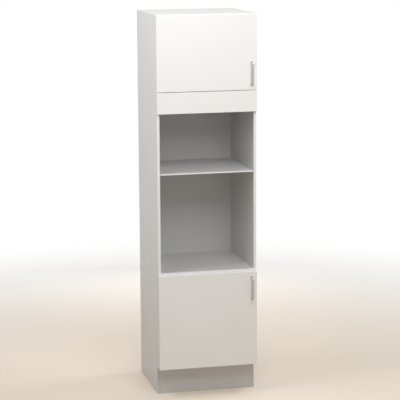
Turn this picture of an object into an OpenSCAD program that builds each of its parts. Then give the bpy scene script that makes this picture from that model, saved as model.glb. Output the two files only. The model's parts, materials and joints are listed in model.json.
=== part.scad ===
// Tall kitchen cabinet with a microwave niche over an oven niche, a cupboard with a
// door at the top and another at the bottom. Sizes are in millimetres. The origin is
// on the floor, in the middle of the footprint with doors and handles included.
// +Z is up, the fronts face -Y and the doors are hinged on the -X side.

/* [Carcass] */
// Overall width
cabinet_w = 600; // [500:1:900]
// Depth of the carcass without the doors
carcass_d = 560; // [500:1:650]
// Thickness of the carcass boards
board_t = 16; // [15:0.5:19]
// Thickness of the back panel
back_t = 8; // [6:0.5:10]
// How far the back panel sits in from the rear edges
back_inset = 8; // [6:1:20]
// Depth of the grooves that hold the back panel
groove_d = 7; // [5:0.5:9]
// Gap around the back panel in its grooves
groove_gap = 0.2; // [0.1:0.05:0.5]
// Setback of the plinth board from the front of the carcass
toe_recess = 60; // [40:1:80]
// Thickness of the plinth board
plinth_t = 16; // [12:0.5:19]

/* [Heights] */
// Height of the toe space under the bottom panel
toe_h = 166; // [120:1:200]
// Height of the front zone of the lower door
lower_zone_h = 576; // [512:1:704]
// Height of the open zone between the lower door and the filler panel
open_zone_h = 960; // [920:1:1100]
// Height of the front zone of the filler panel
filler_zone_h = 128; // [110:1:192]
// Height of the front zone of the upper door
upper_zone_h = 448; // [400:1:704]
// Clear height of the oven niche, under the microwave shelf
oven_niche_h = 586; // [560:1:600]

/* [Fronts] */
// Thickness of the doors and the filler panel
front_t = 19; // [17:0.5:22]
// Gap between the carcass and the backs of the fronts
front_gap = 2; // [1.6:0.1:3]
// Distance from the edge of a front to the edge of its zone
reveal = 1.5; // [1:0.1:2.5]
// How far the lower door laps up over the edge of the oven shelf
oven_shelf_lap = 2; // [1:0.5:10]
// How far the filler panel hangs below the floor of the upper cupboard
filler_drop = 5; // [1:0.5:8]
// Diameter of the door bumpers
bumper_d = 8; // [6:0.5:10]
// Free travel between a bumper and the carcass
bumper_gap = 0.2; // [0.1:0.05:0.5]
// Distance from a bumper to the edges of its door
bumper_edge = 22; // [15:1:40]

/* [Shelves] */
// Thickness of the microwave shelf
thin_shelf_t = 8; // [6:0.5:12]
// Setback of the microwave shelf from the front of the carcass
thin_shelf_setback = 3; // [0:1:20]
// Setback of the shelves inside the cupboards
shelf_setback = 22; // [10:1:40]
// Gap at each end of a loose shelf and behind it
shelf_gap = 1; // [0.5:0.25:2]
// Height of the loose shelf over the floor of the upper cupboard
upper_shelf_rise = 288; // [224:32:352]
// Height of the loose shelf over the bottom panel
lower_shelf_rise = 288; // [224:32:352]
// Pitch of the rows of shelf holes
row_pitch = 32; // [32:1:50]
// Holes in a row above and below the one in use
row_spare = 2; // [1:1:3]
// Distance from the front edge to the front row, and from the back panel to the rear row
row_setback = 37; // [37:1:60]
// Diameter of the shelf pins
pin_d = 5; // [4:0.5:6]
// Depth of the shelf holes
pin_hole_depth = 11; // [9:0.5:12]
// Gap between a shelf pin's end and the bottom of its hole
pin_end_gap = 1.5; // [0.5:0.25:3]
// Diameter of the heads of the shelf pins
pin_head_d = 8; // [7:0.5:10]
// Length of the heads of the shelf pins
pin_head_l = 8; // [6:0.5:10]
// Height of the flat on a pin's head over the top of its shank
pin_flat_rise = 0.5; // [0.2:0.1:0.8]

/* [Handles] */
// Distance between the two feet of a handle
handle_centres = 128; // [96:32:192]
// Diameter of the handle's bar
handle_bar_d = 12; // [8:0.5:14]
// Distance that a handle stands out from its door
handle_out = 34; // [28:0.5:45]
// Radius of the bends, on the centre line
handle_bend_r = 12; // [8:0.5:15]
// Distance from the feet to the side edge of the door
handle_side = 32; // [25:0.5:60]
// Distance from the nearer foot to the top or bottom edge of the door
handle_end = 34; // [25:0.5:80]
// Thread diameter of the handle screws
handle_screw_d = 4; // [3:0.5:5]
// Depth of the screw in a handle's foot
handle_screw_grip = 9; // [6:0.5:12]
// Diameter of the heads of the handle screws
handle_screw_head_d = 8; // [7:0.5:9]
// Height of the heads of the handle screws
handle_screw_head_h = 2.4; // [2:0.1:3]
// Play of a handle screw in the door, on each side
handle_screw_play = 0.25; // [0.1:0.05:0.5]

/* [Hinges] */
// Distance from the ends of a door to its hinges
hinge_end = 100; // [80:1:120]
// Diameter of the hinge cup
cup_d = 35; // [35:0.5:36]
// Depth of the hinge cup
cup_depth = 12.5; // [12.2:0.1:13]
// Distance from the edge of the door to the cup
cup_edge = 5; // [4:0.25:6]
// Wall of the hinge cup
cup_wall = 0.8; // [0.6:0.1:1]
// Spacing of the two cup screws
cup_screw_spacing = 45; // [42:0.5:52]
// Distance from the cup's centre line to its screws
cup_screw_offset = 9.5; // [8:0.25:10]
// Length of the cup screws
cup_screw_l = 11; // [9:0.5:13]
// Thickness of the cup's flange
flange_t = 1.2; // [1:0.1:1.5]
// Radius of the round ends of the flange
flange_end_r = 8; // [6:0.5:9]
// How far the flange reaches past its screws, towards the middle of the door
flange_past_screws = 5; // [4:0.5:6.5]
// Opening angle of the doors
door_turn = 100; // [90:1:102]
// Turn of the inner links while a door opens
inner_turn = 26; // [25:0.5:27]
// Turn of the outer links while a door opens
outer_turn = 29; // [28:0.5:30]
// Diameter of the link pins
link_pin_d = 2.5; // [2:0.1:2.6]
// Running gap of the links on their pins
pin_gap = 0.05; // [0.03:0.01:0.08]
// Width of the eyes at the ends of the links
eye_d = 4.8; // [4.4:0.1:5]
// Width of the links between their eyes
link_w = 2; // [1.6:0.1:2]
// Width of the inner link, along its pins
inner_link_h = 6; // [5:0.25:6]
// Thickness of the outer link's cheeks
outer_cheek_t = 1.2; // [0.8:0.1:1.2]
// Thickness of the arm's cheeks and web
arm_t = 1.4; // [1:0.1:1.4]
// Thickness of the lugs in the cup
lug_t = 1; // [0.8:0.1:1]
// Gap between neighbouring layers of a hinge, along its pins
layer_gap = 0.4; // [0.3:0.05:0.45]
// Distance from the front of the carcass to the screws of the mounting plate
plate_setback = 37; // [37:1:42]
// Spacing of the two screws of a mounting plate
plate_screw_spacing = 32; // [32:1:40]
// Diameter of the screws of the mounting plates
plate_screw_d = 5; // [4.5:0.1:5.5]
// Depth of the screws of the mounting plates in the side panel
plate_screw_l = 11; // [9:0.5:12]
// Diameter of the heads of the mounting plate's screws
plate_screw_head_d = 8.8; // [8:0.1:9.6]
// Height of the heads of the mounting plate's screws
plate_screw_head_h = 2.6; // [2:0.1:3]
// Thickness of the wings of a mounting plate
plate_t = 3; // [2.4:0.1:3.5]
// Radius of the round ends of the wings
wing_r = 8; // [7:0.5:9.5]
// Height of the rail of a mounting plate
rail_h = 10.5; // [9.5:0.25:11]
// How far the rail reaches forward from the plate's screws
rail_front = 12; // [10:0.5:14]
// How far the rail reaches back from the plate's screws
rail_back = 36; // [34:0.5:40]
// How far an arm stops short of the rear end of its rail
arm_short = 2; // [1:0.5:3]
// Distance from the plate's screws to the front adjusting screw
front_adjuster = 5; // [4.5:0.5:7]
// Distance from the plate's screws to the rear adjusting screw
rear_adjuster = 24; // [18:1:27]
// Diameter of the adjusting screws
adjuster_d = 4.4; // [4:0.1:5]
// Depth of the adjusting screws under the web of the arm
adjuster_grip = 6; // [4:0.5:8]
// Diameter of the heads of the adjusting screws
adjuster_head_d = 7.2; // [6.6:0.1:7.6]
// Height of the heads of the adjusting screws
adjuster_head_h = 1.8; // [1.4:0.1:2]

/* [Fittings] */
// Diameter of the cam locks
cam_d = 15; // [12:0.5:16]
// Depth of the cam locks
cam_t = 12.5; // [11:0.25:13]
// Distance from a cam lock to the end of its board
cam_in = 24; // [20:0.5:34]
// Distance from the cam locks to the front and back of a board
cam_setback = 110; // [90:1:130]
// Width of the slots in a cam lock
cam_slot_w = 1.6; // [1.2:0.1:2.5]
// Length of the slots in a cam lock
cam_slot_l = 9; // [7:0.5:10]
// Depth of the slots in a cam lock
cam_slot_depth = 2; // [1.5:0.25:2.5]
// Diameter of the cam bolts
cam_bolt_d = 6; // [5:0.5:6.5]
// Diameter of the heads of the cam bolts
cam_bolt_head_d = 6.8; // [6.6:0.1:7]
// Length of the heads of the cam bolts
cam_bolt_head_l = 4; // [3:0.5:5]
// Diameter of the bores for the cam bolts in the boards and locks
cam_bolt_bore_d = 7.2; // [7.1:0.1:8]
// Diameter of the threads of the cam bolts
cam_thread_d = 5; // [4:0.5:6]
// Length of the threads of the cam bolts in the side panels
cam_thread_l = 10.5; // [8:0.5:12]
// Diameter of the dowels
dowel_d = 8; // [6:0.5:8]
// Length of a dowel in its board
dowel_in_board = 20; // [16:0.5:24]
// Length of a dowel in the side panel
dowel_in_side = 10; // [8:0.5:11]
// Distance from the dowels to the front and back of a board
dowel_setback = 62; // [55:1:75]
// Gap of dowels, cams and screws in their holes
bore_fit = 0.05; // [0.03:0.01:0.1]
// Blind bores are deeper than what they take by this much
end_gap = 0.5; // [0.2:0.1:1]
// Diameter of the wood screws
wood_screw_d = 3.5; // [3:0.5:4]
// Diameter of the heads of the wood screws
wood_screw_head_d = 7; // [6:0.5:8]
// Height of the heads of the wood screws
wood_screw_head_h = 2; // [1.6:0.1:2.4]
// Distance from the outer screws of the back panel to the side panels
back_screw_in = 60; // [40:1:100]
// Depth of the screws of the back panel in the boards
back_screw_grip = 22; // [16:1:30]
// Spacing of the two wall-fixing holes
wall_hole_spacing = 440; // [300:1:460]
// Diameter of the wall-fixing holes
wall_hole_d = 6.5; // [5:0.5:8]
// Thickness of the steel brackets
bracket_t = 2; // [1.5:0.1:2.5]
// Width of the steel brackets
bracket_w = 40; // [34:1:50]
// Length of the legs of the steel brackets
bracket_leg = 36; // [32:1:45]
// Distance from the corner of a bracket to the holes of its free leg
bracket_hole_in = 22; // [18:0.5:26]
// Spacing of two screws across a bracket
bracket_screws_across = 20; // [16:1:26]
// Spacing of two screws along a leg
bracket_screws_along = 16; // [12:1:20]
// Depth of the bracket screws in the boards
bracket_screw_grip = 12; // [9:0.5:13]
// Distance from the top of the filler panel to its brackets
filler_bracket_drop = 12; // [6:1:20]
// Side of the blocks behind the plinth board
block_size = 28; // [24:1:34]
// Distance from the blocks to the floor and to the bottom panel
block_end = 24; // [10:1:25]
// Thickness of a block under the heads of its screws
block_floor = 4; // [3:0.5:6]
// Distance from the corner of a block to the axes of its screws
block_hole_in = 18; // [16:0.5:19]
// Gap around the heads of the screws in a block
block_pocket_gap = 1; // [0.5:0.1:1.4]
// Depth of the block screws in the boards
block_screw_grip = 10; // [8:0.5:11]

/* [Hidden] */
$fn = 48;

WHITE_BOARD = "#f2f2f0";
WHITE_FRONT = "#fbfbf9";
SATIN_NICKEL = "#a9a8a5";
ZINC_STEEL = "#b9bcc0";
BEECH = "#d9b98a";
CLEAR_RUBBER = "#e4e6e8";
GREY_PLASTIC = "#cfcfcd";

// Cuts run past the faces that they open by this much.
cut = 1;

// Places across the width and the depth
half_w = cabinet_w / 2;
inner_half = half_w - board_t;
overall_d = handle_out + front_t + front_gap + carcass_d;
y_rear = overall_d / 2;
y_carcass = y_rear - carcass_d;
y_door_back = y_carcass - front_gap;
y_door_front = y_door_back - front_t;
y_back = y_rear - back_inset - back_t;
front_half = half_w - reveal;

// Heights of the zones, and of the undersides of the boards
z_open_zone = toe_h + lower_zone_h;
z_filler_zone = z_open_zone + open_zone_h;
z_upper_zone = z_filler_zone + filler_zone_h;
cabinet_h = z_upper_zone + upper_zone_h;
z_oven_shelf = z_open_zone - reveal - oven_shelf_lap;
z_microwave_shelf = z_oven_shelf + board_t + oven_niche_h;
z_cupboard_floor = z_filler_zone + reveal + filler_drop;
z_top_panel = cabinet_h - board_t;
z_upper_shelf = z_cupboard_floor + board_t + upper_shelf_rise;
z_lower_shelf = toe_h + board_t + lower_shelf_rise;

// The boards joined to both sides: underside, and the face that the cams are let into
// (-1 underside, 1 top)
BOARD_JOINTS = [[toe_h, -1], [z_oven_shelf, -1], [z_cupboard_floor, 1], [z_top_panel, -1]];
CAM_YS = [y_carcass + cam_setback, y_back - cam_setback];
DOWEL_YS = [y_carcass + dowel_setback, y_back - dowel_setback];

// Loose shelves: underside, and the spare holes above and below their pins
PIN_SHELVES = [[z_microwave_shelf, 0], [z_upper_shelf, row_spare], [z_lower_shelf, row_spare]];
PIN_YS = [y_carcass + row_setback, y_back - row_setback];
pin_head_r = pin_head_d / 2;
pin_flat = pin_d / 2 + pin_flat_rise;

// Screw rows through the back panel into the boards
BACK_SCREW_XS = [-inner_half + back_screw_in, 0, inner_half - back_screw_in];

// Heights and lowest edges of the fronts, and the middles of the handles and hinges
lower_door_h = lower_zone_h - 2 * reveal;
upper_door_h = upper_zone_h - 2 * reveal;
z_lower_door = toe_h + reveal;
z_upper_door = z_upper_zone + reveal;
z_filler_panel = z_filler_zone + reveal;
filler_panel_h = filler_zone_h - 2 * reveal;
z_lower_handle = z_lower_door + lower_door_h - handle_end - handle_centres / 2;
z_upper_handle = z_upper_door + handle_end + handle_centres / 2;
handle_x = front_half - handle_side;
LOWER_HINGE_ZS = [z_lower_door + hinge_end, z_lower_door + lower_door_h - hinge_end];
UPPER_HINGE_ZS = [z_upper_door + hinge_end, z_upper_door + upper_door_h - hinge_end];
HINGE_ZS = concat(LOWER_HINGE_ZS, UPPER_HINGE_ZS);
HANDLE_SCREW_STEPS = [-handle_centres / 2, handle_centres / 2];

// Hinges are drawn in plan, from the centre of the cup on the back face of the door:
// x goes into the cupboard and y towards its back.
hinge_x = -front_half + cup_edge + cup_d / 2;
side_face = -inner_half - hinge_x;
carcass_front = front_gap;
inner_cup_pivot = [-13.4, -4];
outer_cup_pivot = [-7.1, -7.9];
inner_arm_pivot = [10, 20.5];
// The two points that bend the inner link around the side panel and the rim of the cup,
// and the number of straight pieces that its curve is drawn with
inner_link_bend = [[14, 3], [-8.3, -9.8]];
link_steps = 14;
function turned(p, a) = [p.x * cos(a) - p.y * sin(a), p.x * sin(a) + p.y * cos(a)];
// The centre of the turn by angle a that takes p to q
function turn_centre(p, q, a) = (p + q) / 2 + [p.y - q.y, q.x - p.x] / (2 * tan(a / 2));
inner_cup_pivot_open = inner_arm_pivot + turned(inner_cup_pivot - inner_arm_pivot, inner_turn);
outer_cup_pivot_open = inner_cup_pivot_open
    + turned(outer_cup_pivot - inner_cup_pivot, -door_turn);
outer_arm_pivot = turn_centre(outer_cup_pivot, outer_cup_pivot_open, outer_turn);

// Point t of the smooth curve from p to q that c and d bend
function curve_point(p, c, d, q, t) =
    p * pow(1 - t, 3) + c * 3 * t * pow(1 - t, 2) + d * 3 * t * t * (1 - t) + q * pow(t, 3);
INNER_LINK_PATH = [
    for (i = [0 : link_steps])
        curve_point(inner_arm_pivot, inner_link_bend[0], inner_link_bend[1], inner_cup_pivot,
            i / link_steps)
];
OUTER_LINK_PATH = [outer_arm_pivot, outer_cup_pivot];

// Layers of a hinge, as distances from its middle plane
eye_r = eye_d / 2;
link_pin_r = link_pin_d / 2;
inner_layer = inner_link_h / 2;
outer_layer_in = inner_layer + layer_gap;
outer_layer_out = outer_layer_in + outer_cheek_t;
arm_layer_in = outer_layer_out + layer_gap;
arm_layer_out = arm_layer_in + arm_t;
lug_layer_in = arm_layer_out + layer_gap;
lug_layer_out = lug_layer_in + lug_t;

// Screws of a hinge, as distances from its middle plane
CUP_SCREW_STEPS = [-cup_screw_spacing / 2, cup_screw_spacing / 2];
PLATE_SCREW_STEPS = [-plate_screw_spacing / 2, plate_screw_spacing / 2];

// The arm reaches back over the rail of its mounting plate.
plate_y = carcass_front + plate_setback;
rail_half = arm_layer_in - layer_gap;
rail_top = side_face + rail_h;
rail_y_front = plate_y - rail_front;
rail_y_rear = plate_y + rail_back;
ADJUSTER_YS = [plate_y + front_adjuster, plate_y + rear_adjuster];
arm_rear = rail_y_rear - arm_short;
arm_foot = side_face + plate_t + layer_gap;
arm_rear_top = rail_top + layer_gap + arm_t;
arm_front_top = outer_arm_pivot.x + eye_r;
web_front = inner_arm_pivot.y + eye_r + layer_gap;

// The arm's top edge slopes down behind the inner link's pivot: start and length.
arm_slope_start = 6;
arm_slope_l = 12;
// Its bottom edge dips under that pivot: start in front of it, half of the flat part
// and margin under the eye. It meets the plate behind the rail's front end.
arm_dip_start = 9;
arm_dip_half = 2;
arm_dip_margin = 1;
arm_heel = 4;

// Wall-fixing brackets hang under the top panel, against the back panel.
WALL_XS = [-wall_hole_spacing / 2, wall_hole_spacing / 2];
z_wall_hole = z_top_panel - bracket_hole_in;
ACROSS_STEPS = [-bracket_screws_across / 2, bracket_screws_across / 2];
ALONG_STEPS = [-bracket_screws_along / 2, bracket_screws_along / 2];

// Brackets that hold the filler panel, and blocks behind the plinth board
z_filler_bracket = z_filler_panel + filler_panel_h - bracket_w - filler_bracket_drop;
BLOCK_ZS = [block_end, toe_h - block_end - block_size];
y_plinth = y_carcass + toe_recess;
y_block = y_plinth + plinth_t;

// ---------------------------------------------------------------- small shapes

// A box from its lowest corner to its highest
module box(low, high) {
    translate(low)
        cube(high - low);
}

// A round hole or pin of radius r and length l from point p, along the axis named
module rod(p, axis, r, l) {
    turn = axis == "x" ? [0, 90, 0]
        : axis == "-x" ? [0, -90, 0]
        : axis == "y" ? [-90, 0, 0]
        : axis == "-y" ? [90, 0, 0]
        : axis == "-z" ? [180, 0, 0]
        : [0, 0, 0];
    translate(p)
        rotate(turn)
            cylinder(r = r, h = l);
}

// The same for a hole: it starts a little outside p
module hole(p, axis, r, l) {
    back = axis == "x" ? [-cut, 0, 0]
        : axis == "-x" ? [cut, 0, 0]
        : axis == "y" ? [0, -cut, 0]
        : axis == "-y" ? [0, cut, 0]
        : axis == "-z" ? [0, 0, cut]
        : [0, 0, -cut];
    rod(p + back, axis, r, l + cut);
}

// A screw whose head's underside is at p and whose shank of diameter d runs along the axis
module screw(p, axis, d, l, head_d, head_h) {
    r = d / 2;
    tip_r = 0.3 * r;
    head_r = head_d / 2;
    crown_r = 0.7 * head_r;
    rim_h = 0.5 * head_h;
    cross_half = 0.5 * head_r;
    slot_half = 0.11 * head_r;
    slot_depth = 0.6 * head_h;
    turn = axis == "x" ? [0, 90, 0]
        : axis == "-x" ? [0, -90, 0]
        : axis == "y" ? [-90, 0, 0]
        : axis == "-y" ? [90, 0, 0]
        : [0, 0, 0];
    translate(p)
        rotate(turn)
            difference() {
                rotate_extrude()
                    polygon([
                        [0, l], [tip_r, l], [r, l - r], [r, 0], [head_r, 0],
                        [head_r, -rim_h], [crown_r, -head_h], [0, -head_h]
                    ]);
                for (a = [0, 90])
                    rotate([0, 0, a])
                        box([-cross_half, -slot_half, -head_h - cut],
                            [cross_half, slot_half, slot_depth - head_h]);
            }
}

// A wood screw through a piece of thickness t that grips l deep behind it
module wood_screw(p, axis, t, l) {
    screw(p, axis, wood_screw_d, t + l, wood_screw_head_d, wood_screw_head_h);
}

// The pilot hole of a wood screw that grips l deep
module pilot(p, axis, l) {
    hole(p, axis, wood_screw_d / 2 + bore_fit, l + end_gap);
}

// ---------------------------------------------------------------- carcass

// Holes in the inner face of a side panel; side is -1 for the left, 1 for the right
module side_bores(side) {
    x = side * inner_half;
    axis = side < 0 ? "-x" : "x";
    for (joint = BOARD_JOINTS) {
        for (y = CAM_YS)
            hole([x, y, joint[0] + board_t / 2], axis,
                cam_thread_d / 2 + bore_fit, cam_thread_l + end_gap);
        for (y = DOWEL_YS)
            hole([x, y, joint[0] + board_t / 2], axis,
                dowel_d / 2 + bore_fit, dowel_in_side + end_gap);
    }
    for (shelf = PIN_SHELVES, y = PIN_YS, step = [-shelf[1] : shelf[1]])
        hole([x, y, shelf[0] - pin_flat + step * row_pitch], axis,
            pin_d / 2 + bore_fit, pin_hole_depth);
    for (dy = ALONG_STEPS)
        pilot([x, y_carcass + bracket_leg / 2 + dy, z_filler_bracket + bracket_w / 2], axis,
            bracket_screw_grip);
    for (z = BLOCK_ZS)
        pilot([x, y_block + block_hole_in, z + block_size / 2], axis, block_screw_grip);
}

// A side panel runs from the floor to the top, with a toe notch and a stopped groove.
module side_panel(side) {
    outer = side * half_w;
    inner = side * inner_half;
    color(WHITE_BOARD)
        difference() {
            box([min(outer, inner), y_carcass, 0], [max(outer, inner), y_rear, cabinet_h]);
            box([-half_w - cut, y_carcass - cut, -cut], [half_w + cut, y_plinth, toe_h]);
            back_panel_space(groove_gap);
            side_bores(side);
            if (side < 0)
                for (z = HINGE_ZS, dz = PLATE_SCREW_STEPS)
                    hole([inner, y_carcass + plate_setback, z + dz], "-x",
                        plate_screw_d / 2 + bore_fit, plate_screw_l + end_gap);
        }
}

module left_side() {
    side_panel(-1);
}

module right_side() {
    side_panel(1);
}

// The back panel's outline, grown by gap
module back_panel_space(gap) {
    half = inner_half + groove_d - groove_gap + gap;
    box([-half, y_back - gap, toe_h - gap],
        [half, y_back + back_t + gap, z_top_panel + groove_d - groove_gap + gap]);
}

// A board between the sides, with bores for its cams, bolts, dowels and back screws
module joined_board(z, cam_face, rear) {
    z_cam = cam_face < 0 ? z : z + board_t;
    cam_axis = cam_face < 0 ? "z" : "-z";
    z_mid = z + board_t / 2;
    difference() {
        box([-inner_half, y_carcass, z], [inner_half, rear, z + board_t]);
        for (side = [-1, 1]) {
            axis = side < 0 ? "x" : "-x";
            for (y = CAM_YS) {
                hole([side * (inner_half - cam_in), y, z_cam], cam_axis,
                    cam_d / 2 + bore_fit, cam_t + end_gap);
                hole([side * inner_half, y, z_mid], axis, cam_bolt_bore_d / 2, cam_in);
            }
            for (y = DOWEL_YS)
                hole([side * inner_half, y, z_mid], axis, dowel_d / 2 + bore_fit,
                    dowel_in_board + end_gap);
        }
    }
}

// Pilot holes in a board's rear edge for the screws through the back panel
module rear_edge_bores(z) {
    for (x = BACK_SCREW_XS)
        pilot([x, y_back, z + board_t / 2], "-y", back_screw_grip);
}

module shelf_board(z, cam_face) {
    color(WHITE_BOARD)
        difference() {
            joined_board(z, cam_face, y_back);
            rear_edge_bores(z);
        }
}

module bottom_panel() {
    shelf_board(BOARD_JOINTS[0][0], BOARD_JOINTS[0][1]);
}

module oven_shelf() {
    shelf_board(BOARD_JOINTS[1][0], BOARD_JOINTS[1][1]);
}

module cupboard_floor() {
    shelf_board(BOARD_JOINTS[2][0], BOARD_JOINTS[2][1]);
}

// The top panel is as deep as the sides and takes the back panel in a groove.
module top_panel() {
    color(WHITE_BOARD)
        difference() {
            joined_board(BOARD_JOINTS[3][0], BOARD_JOINTS[3][1], y_rear);
            back_panel_space(groove_gap);
            for (x = WALL_XS, dx = ACROSS_STEPS)
                pilot([x + dx, y_back - bracket_leg / 2, z_top_panel], "z", bracket_screw_grip);
        }
}

module back_panel() {
    color(WHITE_BOARD)
        difference() {
            back_panel_space(0);
            for (joint = BOARD_JOINTS)
                if (joint[0] < z_top_panel)
                    for (x = BACK_SCREW_XS)
                        pilot([x, y_back, joint[0] + board_t / 2], "y", back_t + cut);
            for (x = WALL_XS)
                hole([x, y_back, z_wall_hole], "y", wall_hole_d / 2, back_t + cut);
        }
}

module plinth_board() {
    color(WHITE_BOARD)
        difference() {
            box([-inner_half, y_plinth, 0], [inner_half, y_block, toe_h]);
            for (side = [-1, 1], z = BLOCK_ZS)
                pilot([side * (inner_half - block_hole_in), y_block, z + block_size / 2], "-y",
                    block_screw_grip);
        }
}

// ---------------------------------------------------------------- loose shelves

module loose_shelf(z, t, setback) {
    half = inner_half - shelf_gap;
    color(WHITE_BOARD)
        box([-half, y_carcass + setback, z], [half, y_back - shelf_gap, z + t]);
}

module microwave_shelf() {
    loose_shelf(z_microwave_shelf, thin_shelf_t, thin_shelf_setback);
}

module upper_shelf() {
    loose_shelf(z_upper_shelf, board_t, shelf_setback);
}

module lower_shelf() {
    loose_shelf(z_lower_shelf, board_t, shelf_setback);
}

// Steel pins in the sides; each has a round head with a flat for the shelf to lie on.
module shelf_pin(side, y, z) {
    inner = side * inner_half;
    tip = side * (inner_half - pin_head_l);
    axis = side < 0 ? "-x" : "x";
    rod([inner, y, z - pin_flat], axis, pin_d / 2, pin_hole_depth - pin_end_gap);
    intersection() {
        rod([tip, y, z - pin_flat], axis, pin_head_r, pin_head_l);
        box([min(inner, tip) - cut, y - pin_head_r - cut, z - pin_flat - pin_head_r - cut],
            [max(inner, tip) + cut, y + pin_head_r + cut, z]);
    }
}

module shelf_pins() {
    color(ZINC_STEEL)
        for (shelf = PIN_SHELVES, side = [-1, 1], y = PIN_YS)
            shelf_pin(side, y, shelf[0]);
}

// ---------------------------------------------------------------- fronts

// A door with bores for its hinge cups, cup screws and handle screws
module door(z, h, hinge_zs, handle_z) {
    color(WHITE_FRONT)
        difference() {
            box([-front_half, y_door_front, z], [front_half, y_door_back, z + h]);
            for (hz = hinge_zs) {
                hole([hinge_x, y_door_back, hz], "-y", cup_d / 2, cup_depth + end_gap);
                for (dz = CUP_SCREW_STEPS)
                    pilot([hinge_x + cup_screw_offset, y_door_back, hz + dz], "-y",
                        cup_screw_l - flange_t);
            }
            for (dz = HANDLE_SCREW_STEPS)
                hole([handle_x, y_door_back, handle_z + dz], "-y",
                    handle_screw_d / 2 + handle_screw_play, front_t + cut);
        }
}

module upper_door() {
    door(z_upper_door, upper_door_h, UPPER_HINGE_ZS, z_upper_handle);
}

module lower_door() {
    door(z_lower_door, lower_door_h, LOWER_HINGE_ZS, z_lower_handle);
}

// The fixed front between the open zone and the upper door
module filler_panel() {
    color(WHITE_FRONT)
        difference() {
            box([-front_half, y_door_front, z_filler_panel],
                [front_half, y_door_back, z_filler_panel + filler_panel_h]);
            for (side = [-1, 1], dz = ACROSS_STEPS)
                pilot([side * (inner_half - bracket_hole_in), y_door_back,
                    z_filler_bracket + bracket_w / 2 + dz], "-y", bracket_screw_grip);
        }
}

// A bow handle: a round bar bent at both ends towards the door
module handle(z) {
    bar_r = handle_bar_d / 2;
    reach = handle_out - bar_r - handle_bend_r;
    straight = handle_centres / 2 - handle_bend_r;
    color(SATIN_NICKEL)
        translate([handle_x, y_door_front, z])
            difference() {
                for (end = [-1, 1]) {
                    translate([0, 0, end * handle_centres / 2])
                        rotate([90, 0, 0])
                            cylinder(r = bar_r, h = reach);
                    translate([0, -reach, end * straight])
                        rotate([0, 90, 0])
                            rotate([0, 0, end < 0 ? -90 : 180])
                                rotate_extrude(angle = 90)
                                    translate([handle_bend_r, 0])
                                        circle(r = bar_r);
                    translate([0, -reach - handle_bend_r, 0])
                        rotate([end < 0 ? 180 : 0, 0, 0])
                            cylinder(r = bar_r, h = straight);
                }
                for (dz = HANDLE_SCREW_STEPS)
                    hole([0, 0, dz], "-y", handle_screw_d / 2 + bore_fit,
                        handle_screw_grip + end_gap);
            }
}

module upper_handle() {
    handle(z_upper_handle);
}

module lower_handle() {
    handle(z_lower_handle);
}

module handle_screws(z) {
    color(ZINC_STEEL)
        for (dz = HANDLE_SCREW_STEPS)
            screw([handle_x, y_door_back, z + dz], "-y", handle_screw_d,
                front_t + handle_screw_grip, handle_screw_head_d, handle_screw_head_h);
}

module upper_handle_screws() {
    handle_screws(z_upper_handle);
}

module lower_handle_screws() {
    handle_screws(z_lower_handle);
}

// Soft buttons on the back of a door, where it meets the right side panel
module bumpers(z, h) {
    color(CLEAR_RUBBER)
        for (bz = [z + bumper_edge, z + h - bumper_edge])
            rod([half_w - board_t / 2, y_door_back, bz], "y", bumper_d / 2, front_gap - bumper_gap);
}

module upper_bumpers() {
    bumpers(z_upper_door, upper_door_h);
}

module lower_bumpers() {
    bumpers(z_lower_door, lower_door_h);
}

// ---------------------------------------------------------------- hinges

cup_r = cup_d / 2 - bore_fit;
cup_floor = -cup_depth + cup_wall;
lug_rear = max(inner_cup_pivot.y, outer_cup_pivot.y) + eye_r;
lug_right = outer_cup_pivot.x + eye_r;

// Draws its children once for each height, in the hinge's own frame.
module at_hinges(zs) {
    for (z = zs)
        translate([hinge_x, y_door_back, z])
            children();
}

// A flat part of a hinge: its plan, between two distances from the middle plane
module layer(low, high) {
    translate([0, 0, low])
        linear_extrude(height = high - low)
            children();
}

// The same on both sides of the middle plane
module layers(low, high) {
    for (side = [-1, 1])
        translate([0, 0, side < 0 ? -high : low])
            linear_extrude(height = high - low)
                children();
}

// A pin across the hinge
module link_pin(pivot, half_l) {
    translate([pivot.x, pivot.y, -half_l])
        cylinder(r = link_pin_r, h = 2 * half_l);
}

// The direction across a path at its point i
function across(path, i) =
    let (run = path[min(i + 1, len(path) - 1)] - path[max(i - 1, 0)])
        [-run.y, run.x] / norm(run);

// A strip of even width along a path
module strip(path, w) {
    last = len(path) - 1;
    polygon(concat(
        [for (i = [0 : last]) path[i] + across(path, i) * w / 2],
        [for (i = [last : -1 : 0]) path[i] - across(path, i) * w / 2]
    ));
}

// The plan of a link: two eyes joined by a strip along a path
module link_plan(path) {
    last = len(path) - 1;
    difference() {
        union() {
            for (end = [path[0], path[last]])
                translate(end)
                    circle(r = eye_r);
            strip(path, link_w);
        }
        for (end = [path[0], path[last]])
            translate(end)
                circle(r = link_pin_r + pin_gap);
    }
}

// The pressed cup with its flange and the lugs that carry the inner link's pin
module hinge_cup() {
    difference() {
        union() {
            rotate([90, 0, 0])
                cylinder(r = cup_r, h = cup_depth);
            cup_flange();
        }
        translate([0, flange_t + cut, 0])
            rotate([90, 0, 0])
                cylinder(r = cup_r - cup_wall, h = flange_t + cut + cup_depth - cup_wall);
        for (dz = CUP_SCREW_STEPS)
            pilot([cup_screw_offset, flange_t, dz], "-y", flange_t + cut);
    }
    difference() {
        intersection() {
            layers(lug_layer_in, lug_layer_out)
                translate([-cup_d / 2, cup_floor - cup_wall / 2])
                    square([lug_right + cup_d / 2, lug_rear - cup_floor + cup_wall / 2]);
            rotate([90, 0, 0])
                cylinder(r = cup_r - cup_wall / 2, h = cup_depth - cup_wall / 2);
        }
        for (pivot = [inner_cup_pivot, outer_cup_pivot])
            translate([pivot.x, pivot.y, -cup_d / 2])
                cylinder(r = link_pin_r + bore_fit, h = cup_d);
    }
}

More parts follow.
